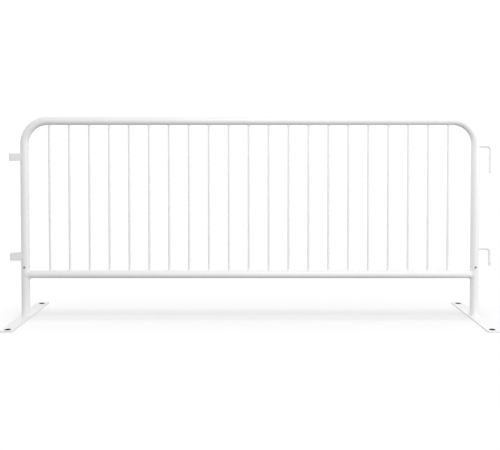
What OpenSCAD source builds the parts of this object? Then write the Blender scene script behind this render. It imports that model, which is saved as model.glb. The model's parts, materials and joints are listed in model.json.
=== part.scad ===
// Steel crowd control barrier: a bent tube frame filled with round pickets, on two
// removable flat feet, with two strap loops at one end and two drop hooks at the other.
// Millimetres. +Z is up and +X runs along the panel towards the hooks. The origin is on
// the floor, midway between the straps' outer ends and the hooks' outer faces, in the
// panel's own plane. The front, where the lock buttons are, faces -Y.

/* [Overall size] */
// Length from the straps' outer ends to the hooks' outer faces
overall_l = 2590; // [1600:10:3300]
// Height from the floor to the top of the frame
overall_h = 1080; // [880:10:1400]

/* [Frame tube] */
// Outside diameter of the bent frame tube and of the leg tubes
frame_od = 44.5; // [43:0.5:54]
// Wall of the frame tube and of the leg tubes
frame_wall = 1.65; // [1.2:0.05:2.5]
// Radius of the tube's centreline in the two top bends
bend_r = 125; // [80:1:180]

/* [Bottom rail] */
// Outside diameter of the bottom rail, always less than the frame tube's
rail_od = 42.2; // [30:0.1:42.5]
// Wall of the bottom rail
rail_wall = 1.65; // [1.2:0.05:2.5]
// Height of the bottom rail's axis above the floor
rail_z = 231; // [185:1:300]

/* [Pickets] */
// Outside diameter of a picket
picket_od = 12.7; // [9:0.1:20]
// Wall of a picket
picket_wall = 1.2; // [0.8:0.1:2]
// Distance from the axis of the straps' post to the nearest picket's axis
picket_first_gap = 133; // [60:1:170]
// Distance from the axis of the hooks' post to the nearest picket's axis
picket_last_gap = 145; // [60:1:170]

/* [Receiver straps] */
// How far the straps reach out from their post's axis
strap_reach = 80; // [60:1:110]
// Height of the flat bar
strap_h = 40; // [25:1:60]
// Thickness of the flat bar
strap_t = 5; // [3:0.5:7]
// Clear width inside the loop, across the panel
strap_gap = 28.5; // [20:0.5:30]
// Outside radius of the loop's two corners
strap_corner_r = 10; // [7.5:0.5:14]

/* [Hooks] */
// How far the hooks reach out from their post's axis
hook_reach = 88; // [70:1:120]
// Diameter of the round bar
hook_d = 14.3; // [10:0.1:18]
// Radius of the bar's centreline in its bend
hook_bend_r = 18; // [12:1:25]
// Length of the chamfer on the bar's free end
hook_chamfer = 2; // [0.5:0.5:4]
// Distance from the end of the top bend down to the upper arm's axis
upper_arm_below_bend = 11; // [9:1:60]
// Distance from the bottom rail's axis up to the lower arm's axis
lower_arm_above_rail = 140; // [110:1:200]
// Length from the upper arm's axis down to the upper hook's free end
upper_hook_drop = 143; // [100:1:200]
// Length from the lower arm's axis down to the lower hook's free end
lower_hook_drop = 92; // [80:1:105]
// Clear height from the upper strap up to the upper hook's arm
upper_seat_gap = 32; // [5:1:50]
// Clear height from the lower strap up to the lower hook's arm
lower_seat_gap = 18; // [5:1:40]

/* [Feet] */
// Length of a foot plate, across the panel
foot_l = 610; // [450:1:760]
// Width of a foot plate
foot_w = 63.5; // [56:0.5:100]
// Thickness of a foot plate
foot_t = 6.35; // [4:0.05:10]
// Radius of a foot plate's corners
foot_corner_r = 4; // [1:0.5:10]
// Diameter of the anchor hole near each end of a foot plate
anchor_hole_d = 32; // [12:1:40]
// Distance from a foot plate's end to the anchor hole's centre
anchor_hole_inset = 31; // [25:1:60]
// Distance from the underside of the bottom rail down to the seam above the leg
seam_below_rail = 14; // [5:1:40]

/* [Spigot] */
// Radial clearance between the spigot and the frame tube
spigot_clearance = 0.4; // [0.2:0.05:0.8]
// Wall of the spigot
spigot_wall = 2; // [1.5:0.1:3]
// Length of the spigot inside the leg tube
spigot_depth = 60; // [30:1:80]
// Length of the spigot above the button's axis
spigot_above_button = 30; // [15:1:60]
// Diameter of the plug welds that hold the spigot in the leg tube
plug_weld_d = 9; // [6:0.5:12]

/* [Lock button] */
// Diameter of the button
button_d = 9.5; // [7:0.1:11]
// Radial clearance between the button and its holes
button_clearance = 0.8; // [0.6:0.05:1.5]
// How far the button stands out of the frame tube
button_proud = 3; // [1.5:0.1:4]
// Distance from the top of the bottom rail up to the button's axis
button_above_rail = 18.5; // [8:0.5:40]
// Width of the spring clip's strip
clip_w = 10; // [8:0.5:14]
// Thickness of the spring clip's strip
clip_t = 0.8; // [0.5:0.1:1.2]
// Distance from the clip's bending line up to the button's axis
clip_arm_l = 60; // [50:1:75]
// Length of the clip's strip above the button's axis
clip_arm_top = 8; // [6:1:12]
// Diameter of the rivet that holds the button on the strip
rivet_d = 4; // [3:0.5:5]

/* [Hidden] */
$fn = 64;
picket_count = 21;
eps = 1;

// Posts, rails and bends
frame_r = frame_od / 2;
frame_bore_r = frame_r - frame_wall;
rail_r = rail_od / 2;
left_x = strap_reach - overall_l / 2;
right_x = overall_l / 2 - hook_reach;
post_span = right_x - left_x;
top_z = overall_h - frame_r;
bend_z = top_z - bend_r;
seam_z = rail_z - rail_r - seam_below_rail;
picket_pitch = (post_span - picket_first_gap - picket_last_gap) / (picket_count - 1);

// Hooks and the straps that they drop into
hook_r = hook_d / 2;
hook_x = right_x + hook_reach - hook_r;
upper_arm_z = bend_z - upper_arm_below_bend;
lower_arm_z = rail_z + lower_arm_above_rail;
upper_strap_z = upper_arm_z - hook_r - upper_seat_gap - strap_h / 2;
lower_strap_z = lower_arm_z - hook_r - lower_seat_gap - strap_h / 2;
strap_w = strap_gap + 2 * strap_t;

// Spigot, clip and button, with radii and depths taken from the post's axis
spigot_r = frame_bore_r - spigot_clearance;
spigot_bore_r = spigot_r - spigot_wall;
button_z = rail_z + rail_r + button_above_rail;
button_hole_d = button_d + 2 * button_clearance;
clip_y = sqrt(pow(spigot_bore_r, 2) - pow(clip_w / 2, 2));
clip_slack = 0.05;
clip_mid_y = clip_y - clip_t / 2;
clip_bend_z = button_z - clip_arm_l;
clip_split = 0.15;
rivet_head_d = rivet_d + 2.4;
rivet_head_t = 1;
button_chamfer = 1.2;

function picket_name(i) = str("picket_", i < 10 ? "0" : "", i);

// Place along X of the centre that a top bend turns about
function bend_x(side) = (side < 0 ? left_x : right_x) - side * bend_r;

// How far a place along X lies beyond the nearer bend's centre, towards its post
function into_bend(x) = max(0, bend_x(-1) - x, x - bend_x(1));

// Height of the frame tube's centreline above a place along X
function frame_axis_z(x) = bend_z + sqrt(pow(bend_r, 2) - pow(into_bend(x), 2));

paint = "white";
spring_steel = "silver";

// Ring outline of a tube
module ring(r, wall) {
    difference() {
        circle(r);
        circle(r - wall);
    }
}

// Upright tube from one height to another at a post's axis
module upright(x, z0, z1, r, wall) {
    translate([x, 0, z0])
        linear_extrude(z1 - z0)
            ring(r, wall);
}

// Level tube along X from one place to another
module level(x0, x1, z, r, wall) {
    translate([x0, 0, z])
        rotate([0, 90, 0])
            linear_extrude(x1 - x0)
                ring(r, wall);
}

// Sweeps a section round a top bend, from straight up to inwards; side is -1 or 1
module top_bend(side) {
    translate([bend_x(side), 0, bend_z])
        rotate([90, 0, 0])
            rotate([0, 0, side < 0 ? 90 : 0])
                rotate_extrude(angle = 90)
                    translate([bend_r, 0])
                        children();
}

// Hole for the button, through the front wall only
module button_hole(x) {
    translate([x, -frame_od, button_z])
        rotate([-90, 0, 0])
            cylinder(h = frame_od - spigot_bore_r / 2, d = button_hole_d);
}

// Second hole, a quarter turn round on the panel side, for a foot turned in line
module stow_hole(x, side) {
    translate([x, 0, button_z])
        rotate([0, -side * 90, 0])
            translate([0, 0, frame_bore_r / 2])
                cylinder(h = frame_r, d = button_hole_d);
}

// One bent tube: left post, top rail and right post
module frame_tube() {
    color(paint)
        difference() {
            union() {
                upright(left_x, seam_z, bend_z, frame_r, frame_wall);
                top_bend(-1) ring(frame_r, frame_wall);
                level(bend_x(-1), bend_x(1), top_z, frame_r, frame_wall);
                top_bend(1) ring(frame_r, frame_wall);
                upright(right_x, seam_z, bend_z, frame_r, frame_wall);
            }
            button_hole(left_x);
            button_hole(right_x);
            stow_hole(left_x, -1);
            stow_hole(right_x, 1);
        }
}

// Solid bar in the place of a post, for cutting what is welded to it
module post_cutter(x) {
    translate([x, 0, seam_z])
        cylinder(h = bend_z - seam_z, r = frame_r);
}

// Bottom rail, with both ends coped to the posts
module bottom_rail() {
    color(paint)
        difference() {
            level(left_x, right_x, rail_z, rail_r, rail_wall);
            post_cutter(left_x);
            post_cutter(right_x);
        }
}

// Solid bar in the place of a level rail, for cutting the pickets
module rail_cutter(x, z, r) {
    translate([x - picket_od, 0, z])
        rotate([0, 90, 0])
            cylinder(h = 2 * picket_od, r = r);
}

// Picket number i, counted from the straps' end, coped to the frame tube and the rail
module picket(i) {
    x = left_x + picket_first_gap + (i - 1) * picket_pitch;
    color(paint)
        difference() {
            upright(x, rail_z, frame_axis_z(x), picket_od / 2, picket_wall);
            rail_cutter(x, top_z, frame_r);
            rail_cutter(x, rail_z, rail_r);
            if (x - picket_od < bend_x(-1)) top_bend(-1) circle(frame_r);
            if (x + picket_od > bend_x(1)) top_bend(1) circle(frame_r);
        }
}

// Outline of a block from the post's axis outwards, with two rounded outer corners
module loop_outline(reach, width, r) {
    translate([r - reach, -width / 2])
        square([reach - r, width]);
    translate([-reach, r - width / 2])
        square([reach, width - 2 * r]);
    for (side = [-1, 1])
        translate([r - reach, side * (width / 2 - r)])
            circle(r);
}

// Flat bar bent into a loop, its two ends coped to the left post
module strap(z) {
    translate([left_x, 0, z - strap_h / 2])
        difference() {
            linear_extrude(strap_h)
                difference() {
                    loop_outline(strap_reach, strap_w, strap_corner_r);
                    loop_outline(strap_reach - strap_t, strap_gap, strap_corner_r - strap_t);
                }
            translate([0, 0, -eps])
                cylinder(h = strap_h + 2 * eps, r = frame_r);
        }
}

module upper_strap() {
    color(paint) strap(upper_strap_z);
}

module lower_strap() {
    color(paint) strap(lower_strap_z);
}

// Round bar: level arm off the right post, quarter bend, and a straight drop
module hook(arm_z, drop) {
    arm_l = hook_x - hook_bend_r - right_x;
    shank_l = drop - hook_bend_r - hook_chamfer;
    difference() {
        translate([right_x, 0, arm_z])
            rotate([0, 90, 0])
                cylinder(h = arm_l, r = hook_r);
        translate([right_x, 0, arm_z - hook_d])
            cylinder(h = 2 * hook_d, r = frame_r);
    }
    translate([right_x + arm_l, 0, arm_z - hook_bend_r])
        rotate([90, 0, 0])
            rotate_extrude(angle = 90)
                translate([hook_bend_r, 0])
                    circle(hook_r);
    translate([hook_x, 0, arm_z - hook_bend_r - shank_l])
        cylinder(h = shank_l, r = hook_r);
    translate([hook_x, 0, arm_z - drop])
        cylinder(h = hook_chamfer, r1 = hook_r - hook_chamfer, r2 = hook_r);
}

module upper_hook() {
    color(paint) hook(upper_arm_z, upper_hook_drop);
}

module lower_hook() {
    color(paint) hook(lower_arm_z, lower_hook_drop);
}

// Outline of a foot plate, with rounded corners
module foot_outline() {
    flat_w = foot_w - 2 * foot_corner_r;
    flat_l = foot_l - 2 * foot_corner_r;
    square([foot_w, flat_l], center = true);
    square([flat_w, foot_l], center = true);
    for (sx = [-1, 1], sy = [-1, 1])
        translate([sx * flat_w / 2, sy * flat_l / 2])
            circle(foot_corner_r);
}

// Flat foot with an anchor hole near each end
module foot_plate(x) {
    color(paint)
        translate([x, 0, 0])
            linear_extrude(foot_t)
                difference() {
                    foot_outline();
                    for (sy = [-1, 1])
                        translate([0, sy * (foot_l / 2 - anchor_hole_inset)])
                            circle(d = anchor_hole_d);
                }
}

// Bar along X through a leg, where its two plug welds go
module plug_bar(x) {
    translate([x - frame_od, 0, seam_z - spigot_depth / 2])
        rotate([0, 90, 0])
            cylinder(h = 2 * frame_od, d = plug_weld_d);
}

// Leg tube, standing on the foot plate and ending at the seam under the post
module leg_tube(x) {
    color(paint)
        difference() {
            upright(x, foot_t, seam_z, frame_r, frame_wall);
            plug_bar(x);
        }
}

// Spigot: plug-welded inside the leg tube, and a sliding fit up inside the post
module spigot(x) {
    top = button_z + spigot_above_button;
    plug_t = frame_wall + spigot_clearance + spigot_wall / 2;
    color(paint)
        union() {
            difference() {
                upright(x, seam_z - spigot_depth, top, spigot_r, spigot_wall);
                button_hole(x);
            }
            intersection() {
                plug_bar(x);
                upright(x, foot_t, seam_z, frame_r, plug_t);
            }
        }
}

// Back arm and round bend of the hairpin spring clip, pressed against the spigot's wall
module clip_spring(x) {
    color(spring_steel)
        union() {
            translate([x - clip_w / 2, clip_y - clip_t, clip_bend_z])
                cube([clip_w, clip_t, clip_arm_l + clip_arm_top]);
            translate([x - clip_w / 2, 0, clip_bend_z])
                rotate([90, 0, 90])
                    rotate([0, 0, 180])
                        rotate_extrude(angle = 180)
                            translate([clip_y - clip_t, 0])
                                square([clip_t - clip_slack, clip_w]);
        }
}

// Front arm of the clip, which carries the button and swings in about the bending line
module clip_arm(x) {
    color(spring_steel)
        difference() {
            translate([x - clip_w / 2, clip_slack - clip_y, clip_bend_z + clip_split])
                cube([clip_w, clip_t - clip_slack, clip_arm_l + clip_arm_top - clip_split]);
            translate([x, -clip_y - eps, button_z])
                rotate([-90, 0, 0])
                    cylinder(h = clip_t + 2 * eps, d = rivet_d);
        }
}

// Button with its rivet tail, which is upset behind the strip
module lock_button(x) {
    button_l = frame_r + button_proud - clip_y + clip_slack;
    color(spring_steel)
        translate([x, clip_slack - clip_y, button_z])
            rotate([90, 0, 0])
                union() {
                    cylinder(h = button_l - button_chamfer, d = button_d);
                    translate([0, 0, button_l - button_chamfer])
                        cylinder(h = button_chamfer, d1 = button_d, d2 = button_d - 2 * button_chamfer);
                    translate([0, 0, clip_slack - clip_t])
                        cylinder(h = clip_t - clip_slack, d = rivet_d);
                    translate([0, 0, clip_slack - clip_t - rivet_head_t])
                        cylinder(h = rivet_head_t, d = rivet_head_d);
                }
}

frame_tube();
bottom_rail();
for (i = [1 : picket_count])
    picket(i);
upper_strap();
lower_strap();
upper_hook();
lower_hook();
foot_plate(left_x);  // left_foot_plate
leg_tube(left_x);  // left_leg_tube
spigot(left_x);  // left_spigot
clip_spring(left_x);  // left_clip_spring
clip_arm(left_x);  // left_clip_arm
lock_button(left_x);  // left_lock_button
foot_plate(right_x);  // right_foot_plate
leg_tube(right_x);  // right_leg_tube
spigot(right_x);  // right_spigot
clip_spring(right_x);  // right_clip_spring
clip_arm(right_x);  // right_clip_arm
lock_button(right_x);  // right_lock_button
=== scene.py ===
"""Looks for a white steel crowd control barrier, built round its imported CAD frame.

Metres, in the row frame: +Z up, +X along the panel towards the hooks, -Y towards the front.
"""

import json
import math
import random

import bmesh
import bpy
from mathutils import Matrix, Vector


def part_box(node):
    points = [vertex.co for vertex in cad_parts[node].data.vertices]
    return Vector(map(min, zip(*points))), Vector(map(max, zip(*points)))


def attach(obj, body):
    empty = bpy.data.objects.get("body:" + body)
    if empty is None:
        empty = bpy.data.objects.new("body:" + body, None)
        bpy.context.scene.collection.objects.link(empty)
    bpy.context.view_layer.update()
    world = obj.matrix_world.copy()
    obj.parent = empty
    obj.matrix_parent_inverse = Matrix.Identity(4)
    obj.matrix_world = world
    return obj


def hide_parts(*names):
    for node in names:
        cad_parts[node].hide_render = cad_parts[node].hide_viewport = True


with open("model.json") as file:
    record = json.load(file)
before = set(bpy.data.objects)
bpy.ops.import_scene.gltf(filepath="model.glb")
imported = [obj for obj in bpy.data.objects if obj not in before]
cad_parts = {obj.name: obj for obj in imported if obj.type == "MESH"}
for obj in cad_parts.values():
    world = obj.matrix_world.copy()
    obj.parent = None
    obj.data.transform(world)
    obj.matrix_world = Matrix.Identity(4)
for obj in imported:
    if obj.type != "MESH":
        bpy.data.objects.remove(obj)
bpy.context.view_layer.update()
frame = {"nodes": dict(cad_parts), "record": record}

MM = 0.001
BARRIER = "barrier"
PAINT = "white_powder_coat"
ZINC = "zinc_plated_steel"
SPRING = "spring_steel"
X, Y, Z = Vector((1, 0, 0)), Vector((0, 1, 0)), Vector((0, 0, 1))


# ---------------------------------------------------------------- sizes read off the frame

def middle(node):
    """The centre of a CAD node's box."""
    low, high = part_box(node)
    return (low + high) / 2


def extent(node):
    """The size of a CAD node's box along X, Y and Z."""
    low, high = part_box(node)
    return high - low


TUBE_R = extent("left_leg_tube").x / 2
TOP_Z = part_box("frame_tube")[1].z - TUBE_R
RAIL_R = extent("bottom_rail").z / 2
RAIL_Z = middle("bottom_rail").z
PICKET_R = extent("picket_01").x / 2
ROD_R = extent("upper_hook").y / 2
PLATE_TOP_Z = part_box("left_foot_plate")[1].z
SEAM_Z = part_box("left_leg_tube")[1].z
POSTS = {side: middle(side + "_leg_tube").x for side in ("left", "right")}
PICKETS = sorted(name for name in frame["nodes"] if name.startswith("picket_"))
BUTTON_Z = middle("left_lock_button").z
MOUNTS = {mount["name"]: mount for mount in frame["record"]["mounts"]}
ANCHOR_Y = MOUNTS["foot_anchors"]["dims"]["spacing_y_mm"] * MM / 2
ANCHOR_R = MOUNTS["foot_anchors"]["dims"]["hole_r_mm"] * MM

# Sizes that no box or mount of the frame gives, the same as in the CAD model
FRAME_WALL = 1.65 * MM
BEND_R = 125 * MM
BUTTON_CLEARANCE = 0.8 * MM
BUTTON_HOLE_R = extent("left_lock_button").x / 2 + BUTTON_CLEARANCE


# ---------------------------------------------------------------- materials

def grey(value):
    """A neutral colour."""
    return (value, value, value)


def new_material(name, color, roughness, metallic=0.0):
    """A plain Principled material."""
    material = bpy.data.materials.new(name)
    material.use_nodes = True
    shader = material.node_tree.nodes["Principled BSDF"]
    shader.inputs["Base Color"].default_value = (*color, 1)
    shader.inputs["Roughness"].default_value = roughness
    shader.inputs["Metallic"].default_value = metallic
    return material


def parts_of(material):
    """A material's node tree, its shader and the object's own coordinates."""
    tree = material.node_tree
    place = tree.nodes.new("ShaderNodeTexCoord").outputs["Object"]
    return tree, tree.nodes["Principled BSDF"], place


def noise(tree, place, scale, detail=2.0, roughness=0.5, stretch=None):
    """A noise pattern with this many cells a metre, stretched along the axes if asked."""
    if stretch:
        mapping = tree.nodes.new("ShaderNodeMapping")
        mapping.inputs["Scale"].default_value = stretch
        tree.links.new(place, mapping.inputs["Vector"])
        place = mapping.outputs["Vector"]
    texture = tree.nodes.new("ShaderNodeTexNoise")
    texture.inputs["Scale"].default_value = scale
    texture.inputs["Detail"].default_value = detail
    texture.inputs["Roughness"].default_value = roughness
    tree.links.new(place, texture.inputs["Vector"])
    return texture.outputs["Fac"]


def ramp(tree, value, stops):
    """Colours along a value: stops are (position, colour)."""
    node = tree.nodes.new("ShaderNodeValToRGB")
    elements = node.color_ramp.elements
    while len(elements) < len(stops):
        elements.new(0.5)
    for element, (position, color) in zip(elements, stops):
        element.position = position
        element.color = (*color, 1)
    tree.links.new(value, node.inputs["Fac"])
    return node.outputs["Color"]


def remap(tree, value, low, high, out_low, out_high):
    """Maps a value from one range to another, held at its ends."""
    node = tree.nodes.new("ShaderNodeMapRange")
    node.inputs["From Min"].default_value = low
    node.inputs["From Max"].default_value = high
    node.inputs["To Min"].default_value = out_low
    node.inputs["To Max"].default_value = out_high
    tree.links.new(value, node.inputs["Value"])
    return node.outputs["Result"]


def bump(tree, height, distance, under=None):
    """Surface relief of this depth, laid over another relief if asked."""
    node = tree.nodes.new("ShaderNodeBump")
    node.inputs["Strength"].default_value = 1
    node.inputs["Distance"].default_value = distance
    tree.links.new(height, node.inputs["Height"])
    if under:
        tree.links.new(under, node.inputs["Normal"])
    return node.outputs["Normal"]


def mix(tree, mask, first, second):
    """The first colour or socket where the mask is 0, the second where it is 1."""
    node = tree.nodes.new("ShaderNodeMixRGB")
    tree.links.new(mask, node.inputs["Fac"])
    for name, value in (("Color1", first), ("Color2", second)):
        if isinstance(value, tuple):
            node.inputs[name].default_value = (*value, 1)
        else:
            tree.links.new(value, node.inputs[name])
    return node.outputs["Color"]


def arithmetic(tree, operation, first, second=0.0):
    """One step of arithmetic on sockets or numbers. ABSOLUTE leaves the second out."""
    node = tree.nodes.new("ShaderNodeMath")
    node.operation = operation
    for socket, value in zip(node.inputs, (first, second)):
        if isinstance(value, (int, float)):
            socket.default_value = value
        else:
            tree.links.new(value, socket)
    return node.outputs["Value"]


def anchor_hole_shade_mask(tree, place):
    """A mask of the walls of the four anchor holes, where shade is painted."""
    parts = tree.nodes.new("ShaderNodeSeparateXYZ")
    tree.links.new(place, parts.inputs["Vector"])
    centre = (POSTS["left"] + POSTS["right"]) / 2
    from_centre = arithmetic(tree, "ABSOLUTE", arithmetic(tree, "SUBTRACT", parts.outputs["X"], centre))
    x = arithmetic(tree, "SUBTRACT", from_centre, POSTS["right"] - centre)
    y = arithmetic(tree, "SUBTRACT", arithmetic(tree, "ABSOLUTE", parts.outputs["Y"]), ANCHOR_Y)
    squares = [arithmetic(tree, "MULTIPLY", side, side) for side in (x, y)]
    past_wall = 0.3 * MM
    return arithmetic(tree, "LESS_THAN", arithmetic(tree, "ADD", *squares), (ANCHOR_R + past_wall) ** 2)


def powder_coat(name, painted_shade_mask=None):
    """White powder coat: orange peel, a slow drift in colour and patches of more or less gloss.

    Where the given mask is 1, the colour is a mottled near black, painted shade on the walls of the anchor
    holes, with a rougher finish.
    """
    drift_cells, gloss_cells, swell_cells, peel_cells, hole_shade_cells = 9, 38, 110, 480, 300
    swell_depth, peel_depth = 0.22 * MM, 0.11 * MM
    hole_shade_roughness = grey(0.65)
    material = new_material(name, (0.86, 0.86, 0.855), 0.38)
    tree, shader, place = parts_of(material)
    drift = noise(tree, place, drift_cells, detail=3)
    color = ramp(tree, drift, [(0.3, (0.845, 0.846, 0.843)), (0.7, (0.875, 0.874, 0.869))])
    gloss = noise(tree, place, gloss_cells, detail=4)
    roughness = remap(tree, gloss, 0.3, 0.7, 0.3, 0.4)
    swell = bump(tree, noise(tree, place, swell_cells, detail=1), swell_depth)
    peel = bump(tree, noise(tree, place, peel_cells, detail=2), peel_depth, under=swell)
    if painted_shade_mask:
        mask = painted_shade_mask(tree, place)
        # The mottled near black here is painted shade in the anchor holes, not a colour of the steel.
        mottle = noise(tree, place, hole_shade_cells, detail=4)
        scale = ramp(tree, mottle, [(0.3, grey(0.02)), (0.7, grey(0.06))])
        color = mix(tree, mask, color, scale)
        roughness = mix(tree, mask, roughness, hole_shade_roughness)
    tree.links.new(color, shader.inputs["Base Color"])
    tree.links.new(roughness, shader.inputs["Roughness"])
    tree.links.new(peel, shader.inputs["Normal"])
    shader.inputs["IOR"].default_value = 1.5
    return material


def zinc_plate():
    """Dull zinc plating, with a fine crystalline mottle."""
    mottle_cells, relief_cells = 260, 900
    relief_depth = 0.02 * MM
    material = new_material("zinc_plate", (0.6, 0.62, 0.64), 0.45, 1.0)
    tree, shader, place = parts_of(material)
    mottle = noise(tree, place, mottle_cells, detail=5, roughness=0.65)
    color = ramp(tree, mottle, [(0.35, (0.50, 0.52, 0.54)), (0.65, (0.66, 0.68, 0.69))])
    relief = bump(tree, noise(tree, place, relief_cells, detail=3), relief_depth)
    tree.links.new(color, shader.inputs["Base Color"])
    tree.links.new(remap(tree, mottle, 0.3, 0.7, 0.38, 0.56), shader.inputs["Roughness"])
    tree.links.new(relief, shader.inputs["Normal"])
    return material


def spring_steel():
    """Lightly oiled spring steel, with a grain drawn along Z."""
    grain_cells = 700
    grain_depth = 0.02 * MM
    material = new_material("spring_steel", (0.3, 0.3, 0.31), 0.4, 1.0)
    tree, shader, place = parts_of(material)
    grain = noise(tree, place, grain_cells, detail=4, stretch=(1, 1, 0.08))
    color = ramp(tree, grain, [(0.3, (0.22, 0.22, 0.23)), (0.7, (0.36, 0.36, 0.365))])
    tree.links.new(color, shader.inputs["Base Color"])
    tree.links.new(remap(tree, grain, 0.3, 0.7, 0.32, 0.5), shader.inputs["Roughness"])
    tree.links.new(bump(tree, grain, grain_depth), shader.inputs["Normal"])
    return material


MATERIALS = {PAINT: powder_coat("powder_coat"), ZINC: zinc_plate(), SPRING: spring_steel()}
# The plates' powder coat, with painted shade on the walls of their anchor holes.
PLATE_PAINT_AND_HOLE_SHADE = powder_coat("plate_powder_coat_and_hole_shade", painted_shade_mask=anchor_hole_shade_mask)


# ---------------------------------------------------------------- CAD nodes: paint and softened edges

def soften_edges(piece, width):
    """Joins split vertices and flat neighbours, rounds the sharp edges and shades the rest smooth."""
    weld = piece.modifiers.new("join", "WELD")
    weld.merge_threshold = 0.005 * MM
    flat = piece.modifiers.new("flats", "DECIMATE")
    flat.decimate_type = "DISSOLVE"
    flat.angle_limit = math.radians(0.5)
    bevel = piece.modifiers.new("edges", "BEVEL")
    bevel.width = width
    bevel.segments = 2
    bevel.limit_method = "ANGLE"
    bevel.angle_limit = math.radians(40)
    bevel.harden_normals = False
    normals = piece.modifiers.new("normals", "WEIGHTED_NORMAL")
    normals.keep_sharp = False
    normals.weight = 100


# How far the sharp edges are rounded, by a word in the node's name
EDGE_WIDTHS = {
    "strap": 0.9 * MM,
    "foot_plate": 0.7 * MM,
    "hook": 0.5 * MM,
    "frame_tube": 0.5 * MM,
    "leg_tube": 0.5 * MM,
    "lock_button": 0.25 * MM,
    "spigot": 0.3 * MM,
    "clip": 0.1 * MM,
}


def finish_cad_nodes():
    """Gives each CAD node its material, and rounds the edges of those with free edges."""
    slots = {row["node"]: row["material_slot"] for row in frame["record"]["subparts"]}
    for name, piece in frame["nodes"].items():
        piece.data.materials.clear()
        piece.data.materials.append(PLATE_PAINT_AND_HOLE_SHADE if "foot_plate" in name else MATERIALS[slots[name]])
        for key, width in EDGE_WIDTHS.items():
            if key in name:
                soften_edges(piece, width)


# ---------------------------------------------------------------- new meshes

def new_object(name, mesh):
    """Turns a bmesh into an object of the scene."""
    data = bpy.data.meshes.new(name)
    mesh.to_mesh(data)
    mesh.free()
    thing = bpy.data.objects.new(name, data)
    bpy.context.scene.collection.objects.link(thing)
    return thing


def new_painted_piece(name, mesh):
    """Turns a bmesh into a smooth, white powder coated piece of the barrier."""
    bmesh.ops.recalc_face_normals(mesh, faces=mesh.faces)
    for face in mesh.faces:
        face.smooth = True
    piece = new_object(name, mesh)
    piece.data.materials.append(MATERIALS[PAINT])
    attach(piece, BARRIER)
    return piece


# ---------------------------------------------------------------- the bent frame tube

BEND_STEPS = 45
TUBE_SIDES = 96
HOLE_SIDES = 48


def frame_stations():
    """Places along the frame tube's centreline, each with its direction away from the panel's middle."""
    margin = 10 * MM
    heights = [SEAM_Z, BUTTON_Z - margin, BUTTON_Z + margin]
    stations = [(Vector((POSTS["left"], 0, z)), -X) for z in heights]
    for side, inward, start in (("left", X, 180), ("right", -X, 90)):
        corner = Vector((POSTS[side], 0, TOP_Z - BEND_R)) + inward * BEND_R
        for i in range(BEND_STEPS + 1):
            angle = math.radians(start - 90 * i / BEND_STEPS)
            out = Vector((math.cos(angle), 0, math.sin(angle)))
            stations.append((corner + out * BEND_R, out))
    stations += [(Vector((POSTS["right"], 0, z)), X) for z in reversed(heights)]
    return stations


def sweep_tube(stations, radius, wall):
    """A tube along the stations, with open ends."""
    mesh = bmesh.new()
    turns = [2 * math.pi * k / TUBE_SIDES for k in range(TUBE_SIDES)]
    rings = []
    for centre, out in stations:
        around = [out * math.cos(turn) + Y * math.sin(turn) for turn in turns]
        outer = [mesh.verts.new(centre + side * radius) for side in around]
        inner = [mesh.verts.new(centre + side * (radius - wall)) for side in around]
        rings.append((outer, inner))
    for (outer_a, inner_a), (outer_b, inner_b) in zip(rings, rings[1:]):
        for k in range(TUBE_SIDES):
            mesh.faces.new((outer_a[k - 1], outer_a[k], outer_b[k], outer_b[k - 1]))
            mesh.faces.new((inner_a[k - 1], inner_b[k - 1], inner_b[k], inner_a[k]))
    for outer, inner in (rings[0], rings[-1]):
        for k in range(TUBE_SIDES):
            mesh.faces.new((outer[k - 1], inner[k - 1], inner[k], outer[k]))
    return mesh


def drill(piece, holes, radius):
    """Cuts round holes, each given by the points where it starts and ends."""
    cutters = []
    for start, end in holes:
        along = end - start
        turn = along.to_track_quat("Z", "Y").to_matrix().to_4x4()
        mesh = bmesh.new()
        bmesh.ops.create_cone(
            mesh,
            cap_ends=True,
            segments=HOLE_SIDES,
            radius1=radius,
            radius2=radius,
            depth=along.length,
            matrix=Matrix.Translation((start + end) / 2) @ turn,
        )
        cutter = new_object("cutter", mesh)
        cutters.append(cutter)
        cut = piece.modifiers.new("hole", "BOOLEAN")
        cut.object = cutter
        cut.solver = "EXACT"
    drilled = piece.evaluated_get(bpy.context.evaluated_depsgraph_get())
    piece.data = bpy.data.meshes.new_from_object(drilled)
    piece.modifiers.clear()
    for cutter in cutters:
        bpy.data.objects.remove(cutter)


def build_frame_tube():
    """The bent frame tube again, with smoother bends than its CAD node, and its button and stow holes."""
    mesh = sweep_tube(frame_stations(), TUBE_R, FRAME_WALL)
    tube = new_painted_piece("bent_frame_tube", mesh)
    holes = []
    for side, inward in (("left", X), ("right", -X)):
        axis = Vector((POSTS[side], 0, BUTTON_Z))
        holes += [(axis + way * TUBE_R / 2, axis + way * TUBE_R * 1.5) for way in (-Y, inward)]
    drill(tube, holes, BUTTON_HOLE_R)
    soften_edges(tube, EDGE_WIDTHS["frame_tube"])
    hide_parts("frame_tube")


# ---------------------------------------------------------------- weld beads

class Seam:
    """One place on a joint: its point and the outward normals of the two surfaces there."""

    def __init__(self, point, normal_a, normal_b):
        self.point = point
        self.out = (normal_a + normal_b).normalized()
        self.toe_a = (normal_b - normal_a * normal_a.dot(normal_b)).normalized()
        self.toe_b = (normal_a - normal_b * normal_a.dot(normal_b)).normalized()


BEAD_STEPS = 7
RINGS_PER_RIPPLE = 5
RIPPLE = 0.07
RIPPLE_LAG = 0.35
RIPPLE_IN_WIDTH = 0.4
TOE_DEPTH = 0.04
ROOT_DEPTH = 0.2
END_SIZE = 0.12
TAPER_POWER = 6


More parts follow.
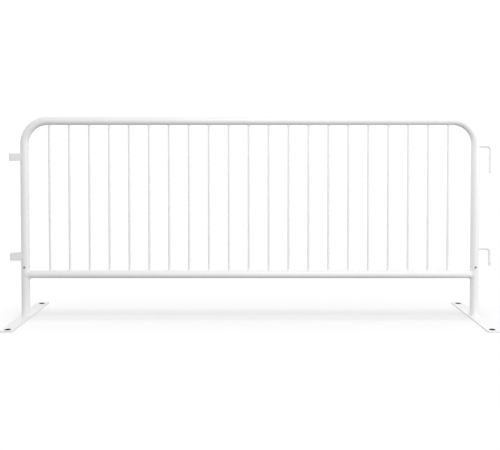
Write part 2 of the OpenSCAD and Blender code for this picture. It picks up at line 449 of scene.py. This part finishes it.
def bead_ring(seam, leg, phase, crown):
    """Outline of the bead across the joint, from one toe over the crown to the other, and its root.

    Heights and depths are shares of the bead's leg length.
    """
    ring = []
    for k in range(BEAD_STEPS):
        t = k / (BEAD_STEPS - 1)
        arch = 4 * t * (1 - t)
        ripple = 1 + RIPPLE * math.sin(2 * math.pi * (phase + RIPPLE_LAG * arch))
        chord = seam.toe_a.lerp(seam.toe_b, t) * leg * (1 + RIPPLE_IN_WIDTH * (ripple - 1))
        rise = (crown * arch * ripple - TOE_DEPTH * (1 - arch)) * leg
        ring.append(seam.point + chord + seam.out * rise)
    ring.append(seam.point - seam.out * ROOT_DEPTH * leg)
    return ring


def bead(name, seams, leg, pitch, crown, closed=True):
    """A fillet weld along a joint, rippled at this pitch. An open bead starts and stops with a taper."""
    wobble = random.Random(name)
    waves = [(wobble.uniform(0, 1), wobble.choice((2, 3, 5)), wobble.uniform(0.02, 0.05)) for _ in range(3)]
    count = len(seams)
    run = sum((seams[i].point - seams[i - 1].point).length for i in range(0 if closed else 1, count))
    ripples = max(1, round(run / pitch))
    mesh = bmesh.new()
    rings = []
    for i, seam in enumerate(seams):
        t = i / count if closed else i / (count - 1)
        size = leg * (1 + sum(a * math.sin(2 * math.pi * (n * t + p)) for p, n, a in waves))
        if not closed:
            size *= max(END_SIZE, 1 - abs(2 * t - 1) ** TAPER_POWER)
        rings.append([mesh.verts.new(co) for co in bead_ring(seam, size, t * ripples, crown)])
    sides = len(rings[0])
    for i in range(count if closed else count - 1):
        a, b = rings[i], rings[(i + 1) % count]
        for k in range(sides):
            mesh.faces.new((a[k], a[(k + 1) % sides], b[(k + 1) % sides], b[k]))
    if not closed:
        mesh.faces.new(rings[0])
        mesh.faces.new(rings[-1])
    new_painted_piece(name, mesh)


def saddle(centre, along, across, branch_r, main_r, leg, pitch):
    """Seams where a round branch, leaving centre in direction along, meets a round main bar."""
    main = along.cross(across)
    count = RINGS_PER_RIPPLE * max(1, round(2 * math.pi * (branch_r + leg / 2) / pitch))
    seams = []
    for i in range(count):
        angle = 2 * math.pi * i / count
        side = branch_r * math.cos(angle)
        depth = math.sqrt(main_r ** 2 - side ** 2)
        out = across * math.cos(angle) + main * math.sin(angle)
        point = centre + along * depth + out * branch_r
        seams.append(Seam(point, out, (along * depth + across * side) / main_r))
    return seams


def ring_on_plate(centre, radius, leg, pitch):
    """Seams round an upright tube where it stands on a flat plate."""
    count = RINGS_PER_RIPPLE * round(2 * math.pi * (radius + leg / 2) / pitch)
    seams = []
    for i in range(count):
        angle = 2 * math.pi * i / count
        out = Vector((math.cos(angle), math.sin(angle), 0))
        seams.append(Seam(centre + out * radius, out, Z))
    return seams


def strap_seam(post_x, face_y, low, high, pitch):
    """Seams up the outer face of a strap's leg where it meets the left post."""
    side = math.copysign(1, face_y)
    depth = math.sqrt(TUBE_R ** 2 - face_y ** 2)
    on_post = Vector((-depth, face_y, 0)) / TUBE_R
    count = RINGS_PER_RIPPLE * round((high - low) / pitch)
    return [
        Seam(Vector((post_x - depth, face_y, low + (high - low) * i / (count - 1))), on_post, Y * side)
        for i in range(count)
    ]


# Each kind of bead: its leg, the pitch of its ripples and its crown as a share of the leg
PICKET_BEAD = (2.6 * MM, 2.2 * MM, 0.3)
RAIL_BEAD = (5 * MM, 3 * MM, 0.15)
LEG_BEAD = (5 * MM, 3 * MM, 0.2)
STRAP_BEAD = (4 * MM, 3 * MM, 0.3)
HOOK_BEAD = (4 * MM, 2.6 * MM, 0.2)


def weld_pickets():
    """A bead round each end of each picket."""
    leg, pitch, crown = PICKET_BEAD
    for name in PICKETS:
        x = middle(name).x
        top = saddle(Vector((x, 0, TOP_Z)), -Z, Y, PICKET_R, TUBE_R, leg, pitch)
        bead("weld_top_" + name, top, leg, pitch, crown)
        bottom = saddle(Vector((x, 0, RAIL_Z)), Z, Y, PICKET_R, RAIL_R, leg, pitch)
        bead("weld_bottom_" + name, bottom, leg, pitch, crown)


def weld_posts():
    """A bead round each end of the rail, and one round the foot of each leg."""
    for side, along in (("left", X), ("right", -X)):
        post = Vector((POSTS[side], 0, 0))
        leg, pitch, crown = RAIL_BEAD
        seams = saddle(post + Z * RAIL_Z, along, Y, RAIL_R, TUBE_R, leg, pitch)
        bead("weld_rail_" + side, seams, leg, pitch, crown)
        leg, pitch, crown = LEG_BEAD
        seams = ring_on_plate(post + Z * PLATE_TOP_Z, TUBE_R, leg, pitch)
        bead("weld_leg_" + side, seams, leg, pitch, crown)


def weld_straps():
    """A bead up the outer face of each leg of each strap."""
    leg, pitch, crown = STRAP_BEAD
    for name in ("upper_strap", "lower_strap"):
        low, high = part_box(name)
        for face, face_y in (("front", low.y), ("back", high.y)):
            seams = strap_seam(POSTS["left"], face_y, low.z + leg / 2, high.z - leg / 2, pitch)
            bead(f"weld_{name}_{face}", seams, leg, pitch, crown, closed=False)


def weld_hooks():
    """A bead round each hook's arm."""
    leg, pitch, crown = HOOK_BEAD
    for name in ("upper_hook", "lower_hook"):
        arm_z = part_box(name)[1].z - ROD_R
        seams = saddle(Vector((POSTS["right"], 0, arm_z)), X, Y, ROD_R, TUBE_R, leg, pitch)
        bead("weld_" + name, seams, leg, pitch, crown)


# ---------------------------------------------------------------- staging

def build_floor():
    """A plain pale floor, which lights nothing else."""
    half_width = 60
    mesh = bmesh.new()
    bmesh.ops.create_grid(mesh, x_segments=1, y_segments=1, size=half_width)
    floor = new_object("floor", mesh)
    material = new_material("floor_paper", grey(0.6), 0.9)
    shader = material.node_tree.nodes["Principled BSDF"]
    shader.inputs["Specular IOR Level"].default_value = 0
    floor.data.materials.append(material)
    floor.visible_diffuse = False
    floor.visible_glossy = False
    return floor


def build_shaded_ground():
    """Dark discs just off the floor under the plates, painted shade seen only through their anchor holes.
    """
    radius = ANCHOR_R + 5 * MM
    lift = 0.2 * MM
    mesh = bmesh.new()
    for x in POSTS.values():
        for y in (-ANCHOR_Y, ANCHOR_Y):
            place = Matrix.Translation((x, y, lift))
            bmesh.ops.create_circle(mesh, cap_ends=True, segments=32, radius=radius, matrix=place)
    ground = new_object("shaded_ground", mesh)
    ground.data.materials.append(new_material("painted_shade_ground", grey(0.03), 0.9))


def light_only(light, floor, state):
    """Has a light reach the floor alone (INCLUDE) or all but the floor (EXCLUDE)."""
    group = bpy.data.collections.new(light.name + "_reach")
    group.objects.link(floor)
    group.collection_objects[0].light_linking.link_state = state
    light.light_linking.receiver_collection = group


def add_light(name, kind, energy, place, target):
    """A light at a place on the set, turned to a target."""
    data = bpy.data.lights.new(name, kind)
    data.energy = energy
    light = bpy.data.objects.new(name, data)
    bpy.context.scene.collection.objects.link(light)
    light.location = place
    light.rotation_mode = "QUATERNION"
    light.rotation_quaternion = (Vector(place) - Vector(target)).to_track_quat("Z", "Y")
    return light


def add_softbox(name, watts, place, target, diameter, floor):
    """A round softbox, kept off the floor, so that the floor stays even."""
    light = add_light(name, "AREA", watts, place, target)
    light.data.shape = "DISK"
    light.data.size = diameter
    light_only(light, floor, "EXCLUDE")


def add_floor_light(strength, spread, floor):
    """A wide light almost straight overhead, which draws the panel's soft shadow under it."""
    light = add_light("floor_light", "SUN", strength, place=(0, -0.6, 4), target=(0, 0, 0))
    light.data.angle = math.radians(spread)
    light_only(light, floor, "INCLUDE")


def build_world(front, back):
    """White to the camera. For lighting, greys from straight down to straight up, front and back."""
    world = bpy.data.worlds.new("studio")
    bpy.context.scene.world = world
    world.use_nodes = True
    tree = world.node_tree
    nodes = tree.nodes
    links = tree.links
    direction = nodes.new("ShaderNodeTexCoord").outputs["Generated"]
    parts = nodes.new("ShaderNodeSeparateXYZ")
    links.new(direction, parts.inputs["Vector"])
    height = remap(tree, parts.outputs["Z"], -1, 1, 0, 1)
    depth = remap(tree, parts.outputs["Y"], -1, 1, 0, 1)
    brightest = max(front + back)
    sides = []
    for greys in (front, back):
        stops = [(i / (len(greys) - 1), grey(value / brightest)) for i, value in enumerate(greys)]
        sides.append(ramp(tree, height, stops))
    light = nodes["Background"]
    links.new(mix(tree, depth, *sides), light.inputs["Color"])
    light.inputs["Strength"].default_value = brightest
    backdrop = nodes.new("ShaderNodeBackground")
    backdrop.inputs["Color"].default_value = (1, 1, 1, 1)
    backdrop.inputs["Strength"].default_value = 1.05
    rays = nodes.new("ShaderNodeLightPath")
    choice = nodes.new("ShaderNodeMixShader")
    links.new(rays.outputs["Is Camera Ray"], choice.inputs["Fac"])
    links.new(light.outputs["Background"], choice.inputs[1])
    links.new(backdrop.outputs["Background"], choice.inputs[2])
    links.new(choice.outputs["Shader"], nodes["World Output"].inputs["Surface"])


def build_camera():
    """Square to the panel, level with the start of its top bends and tilted slightly down."""
    tilt_down = 1.56
    data = bpy.data.cameras.new("camera")
    data.sensor_width = 36
    data.lens = 48.0
    data.shift_y = -0.126
    camera = bpy.data.objects.new("camera", data)
    bpy.context.scene.collection.objects.link(camera)
    camera.location = (-0.004, -3.582, 0.934)
    camera.rotation_euler = (math.radians(90 - tilt_down), 0, 0)
    bpy.context.scene.camera = camera


# Each softbox: its name, watts, place, target and diameter
SOFTBOXES = (
    ("right_softbox", 46, (4.5, -3.0, 1.5), (0, 0, 0.5), 2.0),
    ("side_softbox", 15, (4.0, -1.0, 1.2), (0.5, 0, 0.5), 1.5),
    ("front_softbox", 43, (0.5, -2.6, 2.6), (0.3, 0, 0.5), 2.0),
)

finish_cad_nodes()
build_frame_tube()
weld_pickets()
weld_posts()
weld_straps()
weld_hooks()

floor = build_floor()
build_shaded_ground()
build_world(front=(0, 0.45, 0.7, 0.6, 0.35), back=(0.6, 0.15, 1.15, 1.2, 0.9))
for name, watts, place, target, diameter in SOFTBOXES:
    add_softbox(name, watts, place, target, diameter, floor)
add_floor_light(strength=2.95, spread=56, floor=floor)
build_camera()
bpy.context.scene.view_settings.view_transform = "Standard"
bpy.context.scene.view_settings.look = "None"
